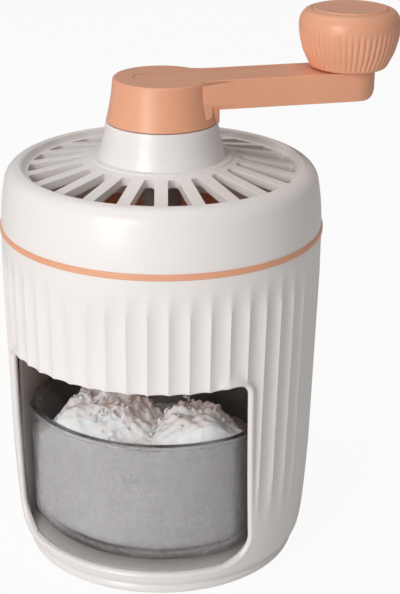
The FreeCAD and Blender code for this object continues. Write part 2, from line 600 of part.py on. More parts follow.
disc_top = DISC_LOW + DISC_THICK
disc = turned_profile([(0, DISC_HUB_LOW), (8.6, DISC_HUB_LOW), (10.4, DISC_LOW), (DISC_R - 0.8, DISC_LOW),
                       (DISC_R, DISC_LOW + 0.8), (DISC_R, disc_top - 0.8), (DISC_R - 0.8, disc_top),
                       (10.0, disc_top), (9.0, disc_top + 0.5), (0, disc_top + 0.5)])
disc = disc.fuse(ring(DISC_R - 2.2, DISC_R - 3.8, DISC_LOW + 1, disc_top + 3.8))
for angle in range(0, 360, 60):
    disc = disc.fuse(turned(block(11.0, DISC_R - 3.0, -0.8, 0.8, DISC_LOW + 1, disc_top + 2.8), angle))


def spike(radius, degrees):
    # Four sided point standing down from the disc
    point = Part.makeWedge(-2.2, 0, -2.2, -0.45, -0.45, 2.2, TOOTH + 0.4, 2.2, 0.45, 0.45)
    point.rotate(V(0, 0, 0), V(1, 0, 0), -90)
    point.translate(V(radius, 0, DISC_LOW + 0.4))
    return turned(point, degrees)


teeth = []
for radius, count, offset in ((17.0, 6, 0.0), (DISC_R - 21, 10, 12.0), (DISC_R - 7, 14, 5.0)):
    for k in range(count):
        teeth.append(spike(radius, offset + 360.0 * k / count))
disc = disc.fuse(teeth)
disc = disc.cut(hexagon(ROD_FLATS + 2 * RUNNING, ROD_LOW, disc_top + 5))
disc = disc.cut(cylinder(1.45, DISC_HUB_LOW - 3, DISC_LOW))
save("press_disc", turned(disc.removeSplitter(), CRANK_ANGLE))

save("disc_screw", moved(pan_screw(3.4, 1.7, 1.3, 5.0), 0, 0, DISC_HUB_LOW))

# Bowl: straight sided where it passes the window, round at front and back
bowl_low_half = BOWL_HALF - BOWL_RIM - DRAFT * (BOWL_TOP - FLOOR)
bowl_under = WINDOW_LOW_ROUND - (WINDOW_HALF - bowl_low_half) + 0.8


def leaning_round(radius, low, high, draft):
    if draft == 0:
        return cylinder(radius, low, high)
    low_r = radius - draft * (BOWL_TOP - low)
    high_r = radius - draft * (BOWL_TOP - high)
    return Part.makeCone(low_r, high_r, high - low, V(0, 0, low), UP)


def leaning_sides(half, low, high, draft):
    low_x = half - draft * (BOWL_TOP - low)
    high_x = half - draft * (BOWL_TOP - high)
    front = -BODY_R - 10
    corners = [V(-low_x, front, low), V(low_x, front, low), V(high_x, front, high), V(-high_x, front, high)]
    return Part.Face(Part.makePolygon(corners + [corners[0]])).extrude(V(0, -2 * front, 0))


def bowl_form(inset, low, high, draft, corner, under):
    reach = BODY_R + 10
    front = leaning_round(BOWL_FRONT_R - inset, low, high, draft)
    front = front.common(block(-reach, reach, -reach, 0, low, high))
    back = leaning_round(BOWL_BACK_R - inset, low, high, draft)
    back = back.common(block(-reach, reach, 0, reach, low, high))
    form = front.fuse(back).common(leaning_sides(BOWL_HALF - inset, low, high, draft)).removeSplitter()
    upright = []
    for edge in form.Edges:
        box = edge.BoundBox
        tall = box.ZLength > 0.9 * (high - low)
        if tall and max(abs(box.XMin), abs(box.XMax)) > BOWL_HALF - 15:
            upright.append(edge)
    form = form.makeFillet(corner, upright)
    if under == 0:
        return form
    return form.makeFillet(under, [edge for edge in form.Edges if edge.BoundBox.ZMax < low + 0.01])


bowl = bowl_form(BOWL_RIM, FLOOR, BOWL_TOP, DRAFT, BOWL_CORNER, bowl_under)
bowl = bowl.fuse(bowl_form(0.0, BOWL_TOP - 1.6, BOWL_TOP, 0, BOWL_CORNER, 0))
inner_corner = BOWL_CORNER - BOWL_WALL
inner_under = bowl_under - BOWL_WALL
bowl = bowl.cut(bowl_form(BOWL_RIM + BOWL_WALL, FLOOR + BOWL_FLOOR, BOWL_TOP + 1, DRAFT,
                          inner_corner, inner_under))
save("bowl", bowl.removeSplitter())

# Knob: fluted grip, hollow under a cap, turning on a shouldered pin
knob_x = ARM_LENGTH * math.cos(math.radians(CRANK_ANGLE))
knob_y = ARM_LENGTH * math.sin(math.radians(CRANK_ANGLE))
knob_side = [(15.2, KNOB_LOW + 1.1), (17.9, KNOB_LOW + 6.9), (19.4, KNOB_LOW + 13.3)]
knob_arcs = [(knob_side[2], (19.55, KNOB_TOP - 4.7), (18.0, KNOB_TOP - 1.5)),
             ((18.0, KNOB_TOP - 1.5), (16.8, KNOB_TOP - 0.5), (15.0, KNOB_TOP))]
cap_low = KNOB_TOP - 1.5
knob = revolved(arcs(knob_arcs) + lines([(15.0, KNOB_TOP), (CAP_R + 0.1, KNOB_TOP), (CAP_R + 0.1, cap_low),
                                         (12.4, cap_low), (12.4, KNOB_LOW + 12.7), (10.0, KNOB_LOW + 7.7),
                                         (0, KNOB_LOW + 7.7), (0, KNOB_LOW), (14.2, KNOB_LOW)] + knob_side))
groove_low = V(knob_side[0][0] - 0.45, 0, knob_side[0][1])
groove_high = V(knob_side[2][0], 0, knob_side[2][1] + 0.2)
groove_run = groove_high - groove_low
mouth = Part.makePolygon([V(0, 0, 0), V(3.3, -1.5, 0), V(3.3, 1.5, 0), V(0, 0, 0)])
mouth.translate(groove_low - groove_run * 0.3)
groove = Part.Face(mouth).extrude(groove_run * 1.4)
knob = knob.cut(around(groove, KNOB_FLUTES))
pin_top = KNOB_LOW + 10.0
pin_bore = cylinder(KNOB_PIN_R + RUNNING, CRANK_TOP - 9, KNOB_TOP)
knob = knob.fuse(cylinder(7.0, CRANK_TOP, pin_top - 0.1)).cut(pin_bore)
save("knob", moved(knob.removeSplitter(), knob_x, knob_y, 0))

cap = turned_profile([(0, cap_low), (CAP_R, cap_low), (CAP_R, KNOB_TOP - 0.1), (14.0, KNOB_TOP + 0.4),
                      (10.0, KNOB_TOP + 0.1), (0, KNOB_TOP - 0.1)])
cap = cap.fuse(ring(12.3, 11.1, cap_low - 3.0, cap_low + 0.4))
save("knob_cap", moved(cap.removeSplitter(), knob_x, knob_y, 0))

pin_head_top = ARM_LOW + 2.6
axle = turned_profile([(0, ARM_LOW + 0.5), (KNOB_PIN_R + 1.2, ARM_LOW + 0.5), (KNOB_PIN_R + 1.7, ARM_LOW + 1.0),
                       (KNOB_PIN_R + 1.7, pin_head_top), (KNOB_PIN_R, pin_head_top), (KNOB_PIN_R, pin_top),
                       (0, pin_top)])
axle = axle.cut(cylinder(1.3, CRANK_TOP, pin_top + 1))
save("knob_axle", moved(axle, knob_x, knob_y, 0))
save("knob_washer", moved(ring(5.6, 1.5, pin_top, pin_top + 0.8), knob_x, knob_y, 0))
knob_screw = pan_screw(2.9, 1.7, 1.25, 7.0)
knob_screw.rotate(V(0, 0, 0), V(1, 0, 0), 180)
save("knob_screw", moved(knob_screw, knob_x, knob_y, pin_top + 0.8))
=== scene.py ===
import math
import random

import bmesh
import bpy
from mathutils import Euler, Matrix, Vector, noise


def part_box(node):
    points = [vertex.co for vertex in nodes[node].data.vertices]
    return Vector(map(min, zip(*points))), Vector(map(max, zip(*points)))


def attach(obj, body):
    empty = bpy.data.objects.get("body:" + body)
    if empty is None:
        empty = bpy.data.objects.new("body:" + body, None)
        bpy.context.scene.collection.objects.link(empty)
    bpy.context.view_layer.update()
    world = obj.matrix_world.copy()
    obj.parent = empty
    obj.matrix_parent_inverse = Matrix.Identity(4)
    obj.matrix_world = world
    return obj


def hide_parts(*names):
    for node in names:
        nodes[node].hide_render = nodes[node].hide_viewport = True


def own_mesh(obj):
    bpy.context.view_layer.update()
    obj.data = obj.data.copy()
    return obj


# Hand cranked ice shaver, in metres, put together from the foot up. The table is z = 0,
# the turning axis is x = y = 0 and the serving window faces -Y.
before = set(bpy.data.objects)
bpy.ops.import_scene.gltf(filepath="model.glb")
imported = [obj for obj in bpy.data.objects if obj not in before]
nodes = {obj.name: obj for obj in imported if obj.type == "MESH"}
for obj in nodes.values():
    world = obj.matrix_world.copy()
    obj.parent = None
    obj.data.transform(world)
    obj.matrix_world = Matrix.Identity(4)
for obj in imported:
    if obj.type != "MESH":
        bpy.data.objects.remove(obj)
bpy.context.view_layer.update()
MM = 0.001

# ---------------------------------------------------------------------------------------
# Camera: about half a metre in front, a little to the right of the window and above the lid.
PICTURE = (400, 594)
FOCAL_PIXELS = 1535.0
SENSOR = 36.0
CAMERA_AWAY = 565.0
CAMERA_OVER_BAND = 193.0
camera_data = bpy.data.cameras.new("camera")
camera_data.sensor_width = SENSOR
camera_data.lens = FOCAL_PIXELS / max(PICTURE) * SENSOR
camera = bpy.data.objects.new("camera", camera_data)
bpy.context.scene.collection.objects.link(camera)
camera_side = math.radians(19.3)
camera_yaw = math.radians(1.54)
camera_pitch = math.radians(21.80)
camera_roll = math.radians(0.62)
band_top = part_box("ice_barrel")[1].z
camera_place = Matrix.Translation((0, -CAMERA_AWAY * MM, band_top + CAMERA_OVER_BAND * MM))
camera.matrix_world = (Matrix.Rotation(camera_side, 4, "Z") @ camera_place
                       @ Matrix.Rotation(-camera_yaw, 4, "Z")
                       @ Matrix.Rotation(math.pi / 2 - camera_pitch, 4, "X")
                       @ Matrix.Rotation(camera_roll, 4, "Z"))
bpy.context.scene.camera = camera


# ---------------------------------------------------------------------------------------
# Foot ring: a soft grey rubber ring pressed into the groove under the base, so the shaver
# doesn't slide. Rubber is dull and shows a faint mould grain.
def colour(code):
    """An sRGB hex code as linear red, green, blue and alpha."""
    linear = []
    for start in (1, 3, 5):
        value = int(code[start:start + 2], 16) / 255.0
        linear.append(value / 12.92 if value <= 0.04045 else ((value + 0.055) / 1.055) ** 2.4)
    return (*linear, 1.0)


def add(tree, kind, settings=(), links=()):
    """Adds a shader node, sets its values and sockets, and links its inputs."""
    node = tree.nodes.new(kind)
    for name, value in dict(settings).items():
        if isinstance(name, int) or name in node.inputs:
            node.inputs[name].default_value = value
        else:
            setattr(node, name, value)
    for name, source in dict(links).items():
        tree.links.new(source, node.inputs[name])
    return node


def new_material(name):
    """An empty node material, its tree and its output node."""
    material = bpy.data.materials.new(name)
    material.use_nodes = True
    tree = material.node_tree
    tree.nodes.clear()
    output = add(tree, "ShaderNodeOutputMaterial")
    return material, tree, output


def ramp(tree, source, low, dark, high, light):
    """A two colour ramp over a texture's value."""
    node = add(tree, "ShaderNodeValToRGB", links={"Fac": source})
    node.color_ramp.elements[0].position = low
    node.color_ramp.elements[0].color = colour(dark)
    node.color_ramp.elements[1].position = high
    node.color_ramp.elements[1].color = colour(light)
    return node.outputs["Color"]


def moulded(name, light, dark, roughness, grain_mm, grain_depth_mm, edge_mm, **shine):
    """A moulded plastic or rubber: faint colour drift, uneven gloss, a fine mould grain, and
    edges as softly rounded as the mould leaves them."""
    material, tree, output = new_material(name)
    place = add(tree, "ShaderNodeTexCoord").outputs["Object"]
    drift = add(tree, "ShaderNodeTexNoise", {"Scale": 1 / 0.045, "Detail": 3.0}, {"Vector": place})
    wear = add(tree, "ShaderNodeTexNoise", {"Scale": 1 / 0.012, "Detail": 4.0}, {"Vector": place})
    gloss = add(tree, "ShaderNodeMapRange", {"To Min": roughness - 0.04, "To Max": roughness + 0.05},
                {"Value": wear.outputs["Fac"]})
    grain = add(tree, "ShaderNodeTexNoise", {"Scale": 1 / (grain_mm * MM), "Detail": 2.0},
                {"Vector": place})
    soft_edge = add(tree, "ShaderNodeBevel", {"samples": 8, "Radius": edge_mm * MM})
    relief = add(tree, "ShaderNodeBump", {"Strength": 0.35, "Distance": grain_depth_mm * MM},
                 {"Height": grain.outputs["Fac"], "Normal": soft_edge.outputs["Normal"]})
    surface = add(tree, "ShaderNodeBsdfPrincipled", shine,
                  {"Base Color": ramp(tree, drift.outputs["Fac"], 0.3, dark, 0.7, light),
                   "Roughness": gloss.outputs["Result"], "Normal": relief.outputs["Normal"]})
    tree.links.new(surface.outputs["BSDF"], output.inputs["Surface"])
    return material


def dress(node_name, material):
    """Gives a solid of the frame its finish."""
    mesh = nodes[node_name].data
    mesh.materials.clear()
    mesh.materials.append(material)


foot_rubber = moulded("moulded_grey_rubber", "#8d8b88", "#7f7d7a", 0.75, 0.6, 0.03, 0.2)
dress("foot_ring", foot_rubber)

# ---------------------------------------------------------------------------------------
# Base cover: the white ABS bottom that closes the housing and shows as a rounded rim at the
# table. Satin moulded ABS is bright, slightly warm, with a soft broad shine.
white_abs = moulded("satin_white_abs", "#efebe9", "#eae6e4", 0.30, 0.9, 0.010, 0.35, IOR=1.53)
dress("base_cover", white_abs)


# ---------------------------------------------------------------------------------------
# Screws: zinc plated steel with domed pan heads and a cross recess, cold headed and thread
# rolled. They hold the base, the blade's clamp, the crank, the presser disc and the knob.
def metal(name, light, dark, roughness, line_mm, stretch):
    """A bare or plated metal with fine drawn or ground lines."""
    material, tree, output = new_material(name)
    place = add(tree, "ShaderNodeTexCoord").outputs["Object"]
    squeeze = add(tree, "ShaderNodeMapping", {"Scale": stretch}, {"Vector": place})
    lines = add(tree, "ShaderNodeTexNoise", {"Scale": 1 / (line_mm * MM), "Detail": 4.0},
                {"Vector": squeeze.outputs["Vector"]})
    gloss = add(tree, "ShaderNodeMapRange", {"To Min": roughness - 0.06, "To Max": roughness + 0.08},
                {"Value": lines.outputs["Fac"]})
    relief = add(tree, "ShaderNodeBump", {"Strength": 0.25, "Distance": 0.01 * MM},
                 {"Height": lines.outputs["Fac"]})
    surface = add(tree, "ShaderNodeBsdfPrincipled", {"Metallic": 1.0},
                  {"Base Color": ramp(tree, lines.outputs["Fac"], 0.3, dark, 0.7, light),
                   "Roughness": gloss.outputs["Result"], "Normal": relief.outputs["Normal"]})
    tree.links.new(surface.outputs["BSDF"], output.inputs["Surface"])
    return material


def skin(mesh, rows, closed_ends=True):
    """Joins rows of points, each a closed loop, into one surface, with a fan at each end."""
    loops = [[mesh.verts.new(Vector(point) * MM) for point in row] for row in rows]
    for first, second in zip(loops, loops[1:]):
        for step in range(len(first)):
            after = (step + 1) % len(first)
            mesh.faces.new((first[step], first[after], second[after], second[step]))
    if closed_ends:
        mesh.faces.new(list(reversed(loops[0])))
        mesh.faces.new(loops[-1])


def circle(radius, height, steps):
    """A level loop of points; the radius may be a function of the angle."""
    points = []
    for step in range(steps):
        angle = 2 * math.pi * step / steps
        reach = radius(angle) if callable(radius) else radius
        points.append((reach * math.cos(angle), reach * math.sin(angle), height))
    return points


def finished(mesh, name, material, smooth_degrees=40.0):
    """Turns the mesh into an object with its finish, smooth except at sharp edges."""
    bmesh.ops.recalc_face_normals(mesh, faces=mesh.faces)
    for face in mesh.faces:
        face.smooth = True
    for edge in mesh.edges:
        edge.smooth = edge.calc_face_angle(0.0) < math.radians(smooth_degrees)
    data = bpy.data.meshes.new(name)
    mesh.to_mesh(data)
    mesh.free()
    data.materials.append(material)
    piece = bpy.data.objects.new(name, data)
    bpy.context.scene.collection.objects.link(piece)
    return piece


def cross_recess(x, y, head_r):
    """How deep the cross recess is here, from 0 outside it to 1 at its floor."""
    arm_width = 0.20 * head_r
    arm_length = 0.62 * head_r
    soft = 0.10 * head_r
    depths = []
    for across, along in ((abs(x), abs(y)), (abs(y), abs(x))):
        side = min(1.0, max(0.0, (arm_width + soft - across) / soft))
        end = min(1.0, max(0.0, (arm_length + soft - along) / soft))
        depths.append(side * end)
    return max(depths)


def pan_screw(head_r, head_h, shank_r, length, pitch, place):
    """Rows of a screw with its head below the origin and its thread upwards, then placed."""
    steps = 32
    rows = []
    for share in (0.03, 0.1, 0.17, 0.24, 0.32, 0.42, 0.52, 0.62, 0.70, 0.8, 0.9, 0.97):
        row = []
        for x, y, _ in circle(share * head_r, 0, steps):
            dome = head_h * (0.45 + 0.55 * math.sqrt(max(0.0, 1 - share ** 2)))
            row.append((x, y, -dome + 0.55 * head_h * cross_recess(x, y, head_r)))
        rows.append(row)
    rows.append(circle(head_r, -0.35 * head_h, steps))
    rows.append(circle(head_r, -0.02, steps))
    rows.append(circle(shank_r, 0.0, steps))
    core = 0.8 * shank_r
    turns = int(6 * length / pitch)
    for level in range(1, turns):
        height = length * level / turns
        fade = min(1.0, 4.0 * (1.0 - level / turns))

        def flank(angle):
            phase = (height / pitch - angle / (2 * math.pi)) % 1.0
            return fade * (core + (shank_r - core) * (1 - abs(2 * phase - 1))) + (1 - fade) * 0.6 * core

        rows.append(circle(flank, height, steps))
    return [[place @ Vector(point) for point in row] for row in rows]


def screws(name, body, replaced, size, places):
    """One piece with all the like screws of a place."""
    mesh = bmesh.new()
    for place in places:
        skin(mesh, pan_screw(*size, place))
    piece = finished(mesh, name, zinc_plate, 30.0)
    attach(piece, body)
    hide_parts(replaced)


zinc_plate = metal("zinc_plated_steel", "#b9bcc0", "#a4a7ab", 0.32, 0.5, (1, 1, 1))
BASE_SCREW_CIRCLE = 48.5
BASE_SCREW_SEAT = 2.3
BASE_SCREW_TURNS = (35, 145, 215, 325)
base_places = []
for degrees in BASE_SCREW_TURNS:
    turn = math.radians(degrees)
    base_places.append(Matrix.Translation((BASE_SCREW_CIRCLE * math.cos(turn),
                                           BASE_SCREW_CIRCLE * math.sin(turn), BASE_SCREW_SEAT)))
screws("base_pan_screws", "housing", "base_screws", (2.8, 1.4, 1.42, 6.0, 1.0), base_places)

# ---------------------------------------------------------------------------------------
# Outer shell: the fluted white ABS body, moulded in one piece with its arched serving window,
# a smooth rolled lip and the screw bosses inside. The fifty hollows run out softly near both
# ends and cut the window's top edge into scallops.
def eased(points, parts):
    """The same line with extra points on a smooth curve through them."""
    line = []
    for index in range(len(points) - 1):
        before = points[max(index - 1, 0)]
        start, end = points[index], points[index + 1]
        after = points[min(index + 2, len(points) - 1)]
        for part in range(parts):
            t = part / parts
            line.append(tuple(0.5 * (2 * b + (c - a) * t + (2 * a - 5 * b + 4 * c - d) * t ** 2
                                     + (3 * b - a - 3 * c + d) * t ** 3)
                              for a, b, c, d in zip(before, start, end, after)))
    return line + [points[-1]]


def step_up(value, low, high):
    """0 below low, 1 above high, and a smooth rise between."""
    share = min(1.0, max(0.0, (value - low) / (high - low)))
    return share * share * (3 - 2 * share)


body_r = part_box("outer_shell")[1].x / MM
SHELL_LOW = 4.6
SHELL_HIGH = 133.7
SHELL_WALL = 2.6
body_line = eased([(body_r - 7.4, SHELL_LOW), (body_r - 5.8, 6.6), (body_r - 4.5, 10.3),
                   (body_r - 3.4, 19.1), (body_r - 2.15, 38.1), (body_r - 0.9, 66.1),
                   (body_r - 0.1, 98.1), (body_r, SHELL_HIGH)], 16)
FLUTES = 50
STEPS_PER_FLUTE = 10
FLUTE_CUT_R = 8.7          # section of each hollow
FLUTE_DEEP_LOW = (59.1, 42.0)      # radius and height of its deepest line
FLUTE_DEEP_HIGH = (60.95, 118.7)
FLUTE_RUN_OUT = (20.0, 44.0, 117.0, 132.0)
WINDOW_HALF = 46.8
WINDOW_SILL = 11.3
WINDOW_TOP = 88.5
CORNER_LOW = 11.0
CORNER_HIGH = 4.0
LIP_ROLL = 1.7             # round at the window's sides and sill
TOP_ROLL = 0.5
LIP_REACH = 3.5            # and at most this far round the corner
LIP_SMOOTH = (0.4, 2.4)    # the hollows start between these distances from the lip
LIP_FINE = 2.8             # the sheet is twice as fine within this distance of the window
SNAP = 0.40                # points this near the window's outline are moved onto it
FRONT_Y = -10.0            # the window lies wholly in front of this


def body_radius(height):
    """The shell's plain outer radius at a height."""
    for (r_low, z_low), (r_high, z_high) in zip(body_line, body_line[1:]):
        if height <= z_high:
            return r_low + (r_high - r_low) * max(0.0, height - z_low) / (z_high - z_low)
    return body_line[-1][0]


def window_gap(x, z):
    """Distance from the window's outline in front view, negative inside it, and its direction."""
    middle_z = (WINDOW_SILL + WINDOW_TOP) / 2
    corner = CORNER_LOW if z < middle_z else CORNER_HIGH
    beside = abs(x) - (WINDOW_HALF - corner)
    above = abs(z - middle_z) - ((WINDOW_TOP - WINDOW_SILL) / 2 - corner)
    side = math.copysign(1.0, x)
    up = math.copysign(1.0, z - middle_z)
    if beside > 0 and above > 0:
        reach = math.hypot(beside, above)
        return reach - corner, side * beside / reach, up * above / reach
    if beside > above:
        return beside - corner, side, 0.0
    return above - corner, 0.0, up


def spread(low, high, step):
    """Even heights from low up to, but without, high."""
    count = max(1, round((high - low) / step))
    return [low + (high - low) * k / count for k in range(count)]


KEYWAY_Z = 131.1
KEYWAY_TURNS = (90.0, 210.0, 330.0)
KEYWAY_HALF_DEGREES = 4.1
KEYWAY_WALL = 0.8
INNER_BLEND = 16.0         # the inside meets the window's side square within this distance
heights = (spread(SHELL_LOW, 7.3, 0.9) + spread(7.3, WINDOW_SILL, 0.5) + spread(WINDOW_SILL, 23.0, 0.9)
           + spread(23.0, 44.0, 1.75) + spread(44.0, 83.5, 2.8) + spread(83.5, WINDOW_TOP, 0.7)
           + spread(WINDOW_TOP, 91.0, 0.5) + spread(91.0, 112.0, 2.6) + spread(112.0, KEYWAY_Z - 0.05, 1.2)
           + [KEYWAY_Z - 0.05, KEYWAY_Z + 0.05] + spread(KEYWAY_Z + 0.6, SHELL_HIGH, 0.8) + [SHELL_HIGH])
columns = FLUTES * STEPS_PER_FLUTE
sheet = bmesh.new()
grid = []
for height in heights:
    radius = body_radius(height)
    line = []
    for column in range(columns):
        angle = 2 * math.pi * column / columns - math.pi / 2
        x, y, z = radius * math.cos(angle), radius * math.sin(angle), height
        if y < FRONT_Y:
            gap, x_way, z_way = window_gap(x, z)
            true_gap = gap * math.hypot(x_way * radius / -y, z_way)
            if abs(true_gap) < SNAP:
                x, z = x - gap * x_way, z - gap * z_way
                y = -math.sqrt(body_radius(z) ** 2 - x ** 2)
            elif gap < 0:
                line.append(None)
                continue
        line.append(sheet.verts.new((x, y, z)))
    grid.append(line)
for low_line, high_line in zip(grid, grid[1:]):
    for column in range(columns):
        after = (column + 1) % columns
        corners = [low_line[column], low_line[after], high_line[after], high_line[column]]
        corners = [vert for vert in corners if vert]
        if len(corners) > 2:
            sheet.faces.new(corners)
near_lip = set()
for face in sheet.faces:
    middle_point = face.calc_center_median()
    if middle_point.y < FRONT_Y and window_gap(middle_point.x, middle_point.z)[0] < LIP_FINE:
        near_lip.update(face.edges)
bmesh.ops.subdivide_edges(sheet, edges=list(near_lip), cuts=1, use_grid_fill=True)
loose = [vert for vert in sheet.verts if not vert.link_faces]
bmesh.ops.delete(sheet, geom=loose, context="VERTS")
sheet.verts.index_update()


def rolled(x, z, x_way, z_way, radius, gap, roll):
    """A point of the lip: the arc that rounds the corner between the shell and the window's
    side, with how far that arc starts from the corner."""
    edge = Vector((x, -math.sqrt(radius ** 2 - x ** 2), z))
    out = Vector((edge.x, edge.y, 0)).normalized()
    away = Vector((x_way, 0, z_way))
    along = (away - out * away.dot(out)).normalized()
    bend = out.angle(-away)
    roll = min(roll, LIP_REACH / math.tan(bend / 2))
    reach = roll * math.tan(bend / 2)
    turn = bend * (1 - min(1.0, gap / reach))
    centre = edge + along * reach - out * (roll + (gap * x_way) ** 2 / (2 * radius))
    return centre + roll * (out * math.cos(turn) - along * math.sin(turn)), reach


def outer_and_inner(point):
    """The finished places on the shell's outside and inside for a point of the plain sheet."""
    z = point.z
    angle = math.atan2(point.y, point.x)
    radius = body_radius(z)
    turn = (math.degrees(angle) + 90.0) % (360.0 / FLUTES) - 180.0 / FLUTES
    share = (z - FLUTE_DEEP_LOW[1]) / (FLUTE_DEEP_HIGH[1] - FLUTE_DEEP_LOW[1])
    axis_r = FLUTE_DEEP_LOW[0] + (FLUTE_DEEP_HIGH[0] - FLUTE_DEEP_LOW[0]) * share + FLUTE_CUT_R
    across = axis_r * math.sin(math.radians(turn))
    deepest = axis_r * math.cos(math.radians(turn)) - math.sqrt(FLUTE_CUT_R ** 2 - across ** 2)
    hollow = max(0.0, radius - deepest)
    low_out, low_in, high_in, high_out = FLUTE_RUN_OUT
    hollow *= step_up(z, low_out, low_in) * (1 - step_up(z, high_in, high_out))
    inner_r = radius - SHELL_WALL
    inner_angle = angle
    for key_degrees in KEYWAY_TURNS:
        off_key = abs((math.degrees(angle) - key_degrees + 180.0) % 360.0 - 180.0)
        if z > KEYWAY_Z and off_key < KEYWAY_HALF_DEGREES:
            inner_r = body_r - KEYWAY_WALL
    outer = None
    if point.y < FRONT_Y:
        gap, x_way, z_way = window_gap(point.x, z)
        gap = max(0.0, gap)
        true_gap = gap * math.hypot(x_way * radius / -point.y, z_way)
        beyond_top = step_up(abs(point.x), WINDOW_HALF - 2 * CORNER_HIGH, WINDOW_HALF - CORNER_HIGH)
        at_top = (z_way > 0.9) * (1 - beyond_top)
        roll = TOP_ROLL * at_top + LIP_ROLL * (1 - at_top)
        edge_x = max(-WINDOW_HALF, min(WINDOW_HALF, point.x - gap * x_way))
        edge_z = z - gap * z_way
        reach = rolled(edge_x, edge_z, x_way, z_way, body_radius(edge_z), true_gap, roll)[1]
        hollow *= max(at_top, step_up(true_gap - reach, *LIP_SMOOTH))
        if true_gap < reach:
            cut_r = body_radius(edge_z) - hollow
            outer = rolled(edge_x, edge_z, x_way, z_way, cut_r, true_gap, roll)[0]
        shift = math.asin(abs(edge_x) / inner_r) - math.asin(abs(edge_x) / body_radius(z))
        inner_angle += math.copysign(shift, point.x) * (1 - step_up(true_gap, 0.0, INNER_BLEND))
    radius -= hollow
    outer = outer or Vector((radius * math.cos(angle), radius * math.sin(angle), z))
    return outer, Vector((inner_r * math.cos(inner_angle), inner_r * math.sin(inner_angle), z))


shell_mesh = bmesh.new()
outside = []
inside = []
for vert in sheet.verts:
    outer_place, inner_place = outer_and_inner(vert.co)
    outside.append(shell_mesh.verts.new(outer_place * MM))
    inside.append(shell_mesh.verts.new(inner_place * MM))
for face in sheet.faces:
    order = [vert.index for vert in face.verts]
    shell_mesh.faces.new([outside[index] for index in order])
    shell_mesh.faces.new([inside[index] for index in reversed(order)])
for edge in sheet.edges:
    if len(edge.link_faces) == 1:
        start, end = (vert.index for vert in edge.verts)
        shell_mesh.faces.new((outside[start], outside[end], inside[end], inside[start]))
sheet.free()
BOSS_R = 3.3
BOSS_TOP = 9.8
BOSS_HOLE_R = 1.5
BOSS_RIB_HALF = 1.2
BOSS_RIB_SUNK = 0.3        # the rib runs this far into the boss and the wall
for degrees in BASE_SCREW_TURNS:
    boss_place = (Matrix.Rotation(math.radians(degrees), 4, "Z")
                  @ Matrix.Translation((BASE_SCREW_CIRCLE, 0, 0)))
    tube = [circle(BOSS_R, SHELL_LOW, 28), circle(BOSS_R, BOSS_TOP, 28),
            circle(BOSS_HOLE_R, BOSS_TOP, 28), circle(BOSS_HOLE_R, SHELL_LOW, 28)]
    tube = [[boss_place @ Vector(point) for point in row] for row in tube]
    skin(shell_mesh, tube + [tube[0]], closed_ends=False)
    rib = []
    for height in (SHELL_LOW, BOSS_TOP):
        start = BOSS_R - BOSS_RIB_SUNK
        reach = body_radius(height) - BASE_SCREW_CIRCLE - SHELL_WALL + BOSS_RIB_SUNK
        corners = [(start, -BOSS_RIB_HALF), (reach, -BOSS_RIB_HALF),
                   (reach, BOSS_RIB_HALF), (start, BOSS_RIB_HALF)]
        rib.append([boss_place @ Vector((x, y, height)) for x, y in corners])
    skin(shell_mesh, rib)
bmesh.ops.remove_doubles(shell_mesh, verts=shell_mesh.verts, dist=1e-6)
bmesh.ops.dissolve_degenerate(shell_mesh, edges=shell_mesh.edges, dist=1e-6)
fluted_shell = finished(shell_mesh, "fluted_shell", white_abs)
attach(fluted_shell, "housing")
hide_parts("outer_shell")

# ---------------------------------------------------------------------------------------
# Bowl bay: the liner behind the window, with a flat wall each side of the bowl. It is ABS
# moulded a little duller than the shell because it is hardly seen. Its greyer white than the
# shell is painted shade for the dim inside of the bay.
bay_abs_painted_shade = moulded("satin_abs_grey_painted_shade", "#cbc8c5", "#c3c0bd", 0.42, 0.9, 0.010, 0.3, IOR=1.53)
dress("bowl_bay", bay_abs_painted_shade)

# ---------------------------------------------------------------------------------------
# Ice barrel: the peach coloured ABS chamber that hangs in the shell. Its flange is the thin
# coloured band between shell and lid, and its wall shows through the grille.
peach_abs = moulded("satin_peach_abs", "#ebab8a", "#e5a381", 0.36, 0.9, 0.010, 0.3, IOR=1.53)
dress("ice_barrel", peach_abs)

# ---------------------------------------------------------------------------------------
# Blade and clamp: a ground stainless strip under the barrel's floor, held by a folded
# stainless plate and two screws. The grinding leaves fine lines along the edge.
ground_steel = metal("ground_stainless_steel", "#c6c8ca", "#a9abae", 0.24, 0.4, (0.05, 1, 1))
dress("blade", ground_steel)
dress("blade_clamp", ground_steel)
barrel_floor_top = 95.3
blade_tilt = Matrix.Rotation(math.radians(-22.0), 4, "X")
blade_edge = Matrix.Translation((0, 1.5, barrel_floor_top + 0.7))
blade_places = []
for along_x in (-36.0, -12.0):
    blade_places.append(blade_edge @ blade_tilt @ Matrix.Translation((along_x, 12.4, -2.4)))
screws("blade_pan_screws", "barrel", "blade_screws", (2.6, 1.5, 1.17, 4.0, 0.8), blade_places)

# ---------------------------------------------------------------------------------------
# Lid: white ABS, a wide ring with a sunk slotted cone and a flared neck. The slots let the
# mould open straight up, so their edges are crisp with a small radius.
dress("lid", white_abs)

# ---------------------------------------------------------------------------------------
# Neck bushing and thrust washer: turned from natural acetal, waxy and slightly yellow
# white. They carry the crank where it passes through the lid.
acetal = moulded("natural_acetal", "#e4e0d6", "#dcd8cd", 0.42, 0.5, 0.005, 0.15)
dress("neck_bushing", acetal)
dress("thrust_washer", acetal)

